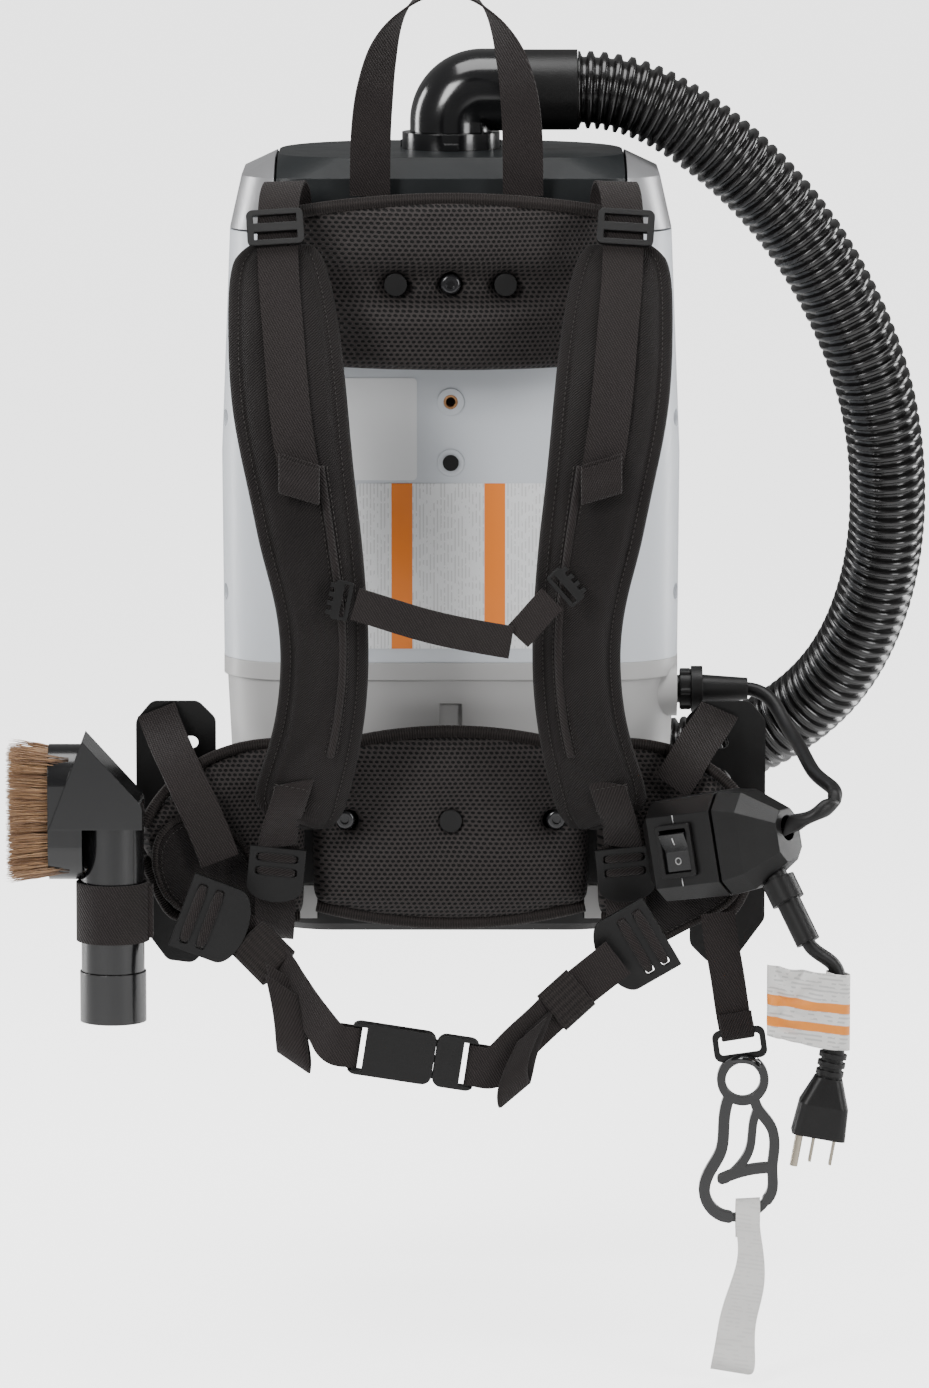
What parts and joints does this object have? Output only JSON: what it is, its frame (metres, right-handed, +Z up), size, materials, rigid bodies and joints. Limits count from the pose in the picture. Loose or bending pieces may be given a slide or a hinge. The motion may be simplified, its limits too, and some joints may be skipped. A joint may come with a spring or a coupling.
{
  "type": "backpack vacuum cleaner",
  "caption": "Backpack vacuum cleaner on a padded harness: two-part housing, lift-off lid with swivel elbow, corrugated hose, belt switch box, dusting brush and cord hook.",
  "frame": {"origin": "bottom centre of the housing base, midway between its wearer side and outer side", "axes": "+Z up along the housing, -Y towards the wearer (harness side), +X to the right when the harness is looked at"},
  "size_m": [0.5779, 0.4509, 0.8589],
  "materials": {
    "light_housing": "fine texture",
    "grey_housing": "fine texture",
    "charcoal_plastic": "satin",
    "black_plastic": "moulded",
    "black_gloss": "gloss",
    "hose_plastic": "corrugated",
    "rubber_seal": "matt",
    "silver_latch": "metallic paint",
    "brass": "machined",
    "label_film": "printed film",
    "screw_steel": "black oxide",
    "filter_paper": "matt",
    "filter_foam": "open foam",
    "motor_case": "moulded",
    "bearing_steel": "ground",
    "iron_core": "laminated",
    "fan_alloy": "pressed",
    "plate_steel": "powder coat",
    "mesh_fabric": "spacer mesh",
    "strap_fabric": "twill",
    "webbing": "woven",
    "bristle": "hair",
    "cable_rubber": "satin",
    "plated_brass": "worn plate",
    "tag_film": "satin film",
    "tag_paper": "matt"
  },
  "bodies": {
    "pack": {"base_cover": "black_plastic", "belt_webbing_left": "webbing", "belt_wing_left": "mesh_fabric", "belt_wing_right": "mesh_fabric", "blank_labels": "label_film", "brass_inserts": "brass", "buckle_female": "black_plastic", "cord_tag": "tag_film", "dome_filter": "filter_foam", "exhaust_filter": "filter_foam", "filter_bag": "filter_paper", "harness_webbing": "webbing", "ladder_locks": "black_plastic", "lid_gasket": "rubber_seal", "lower_housing": "grey_housing", "lumbar_pad": "mesh_fabric", "lumbar_plate": "plate_steel", "machine_cable": "cable_rubber", "motor_bearings": "bearing_steel", "motor_housing": "motor_case", "motor_stator": "iron_core", "pad_bracket": "plate_steel", "pigtail_cord": "cable_rubber", "plug_blades": "plated_brass", "plug_body": "cable_rubber", "power_inlet": "black_plastic", "screw_plugs": "black_plastic", "screws": "screw_steel", "shoulder_strap_left": "strap_fabric", "shoulder_strap_right": "strap_fabric", "sternum_sliders": "black_plastic", "sternum_strap": "webbing", "switch_bezel": "black_plastic", "switch_box_front": "black_plastic", "switch_box_rear": "black_plastic", "tool_loop": "webbing", "triglides": "black_plastic", "upper_housing": "light_housing", "upper_pad": "mesh_fabric", "wing_brackets": "black_plastic", "wing_webbing": "webbing"},
    "lid": {"lid": "charcoal_plastic", "elbow_ring": "black_gloss"},
    "latch_left": {"latch_left": "silver_latch"},
    "latch_right": {"latch_right": "silver_latch"},
    "elbow": {"elbow": "black_gloss"},
    "hose": {"hose": "hose_plastic", "hose_cuffs": "black_plastic"},
    "fan": {"fan_wheel": "fan_alloy"},
    "rocker": {"rocker": "black_gloss"},
    "buckle_male": {"buckle_male": "black_plastic", "belt_webbing_right": "webbing"},
    "carry_handle": {"carry_handle": "webbing"},
    "brush": {"brush_head": "black_gloss", "brush_bristles": "bristle", "tool_adapter": "black_gloss"},
    "cord_hook": {"hook_strap": "webbing", "hook_ring": "black_plastic", "cord_hook": "black_gloss", "paper_tag": "tag_paper"}
  },
  "joints": [
    {"name": "lid_lift", "type": "slide", "parent": "pack", "child": "lid", "axis": [0, 0, 1], "range_m": [0, 0.04]},
    {"name": "latch_left_hinge", "type": "hinge", "parent": "pack", "child": "latch_left", "pos_m": [-0.1342, 0.005, 0.4336], "axis": [0, -1, 0], "range_deg": [0, 60]},
    {"name": "latch_right_hinge", "type": "hinge", "parent": "pack", "child": "latch_right", "pos_m": [0.1342, 0.005, 0.4336], "axis": [0, 1, 0], "range_deg": [0, 60]},
    {"name": "elbow_swivel", "type": "hinge", "parent": "lid", "child": "elbow", "pos_m": [0, 0, 0.49], "axis": [0, 0, 1], "range_deg": [-20, 30]},
    {"name": "hose_swivel", "type": "hinge", "parent": "elbow", "child": "hose", "pos_m": [0.044, 0, 0.523], "axis": [1, 0, 0], "range_deg": [0, 60]},
    {"name": "fan_spin", "type": "hinge", "parent": "pack", "child": "fan", "pos_m": [0, 0, 0.12], "axis": [0, 0, 1], "continuous": true},
    {"name": "rocker_switch", "type": "hinge", "parent": "pack", "child": "rocker", "pos_m": [0.14132, -0.20126, 0.06776], "axis": [-0.8137, 0.549, -0.1908], "range_deg": [0, 20]},
    {"name": "buckle_release", "type": "slide", "parent": "pack", "child": "buckle_male", "axis": [0.9882, 0, -0.153], "range_m": [0, 0.03]},
    {"name": "handle_fold", "type": "hinge", "parent": "pack", "child": "carry_handle", "pos_m": [0, -0.112, 0.466], "axis": [1, 0, 0], "range_deg": [0, 60]},
    {"name": "brush_lift", "type": "slide", "parent": "pack", "child": "brush", "axis": [0, 0, 1], "range_m": [0, 0.1]},
    {"name": "hook_swing", "type": "hinge", "parent": "pack", "child": "cord_hook", "pos_m": [0.165, -0.198, 0.03], "axis": [0, 1, 0], "range_deg": [-20, 20]}
  ],
  "couplings": [
    {"joint": "latch_left_hinge", "follows": "lid_lift", "rad_per_m": 26.1},
    {"joint": "latch_right_hinge", "follows": "lid_lift", "rad_per_m": 26.1}
  ]
}
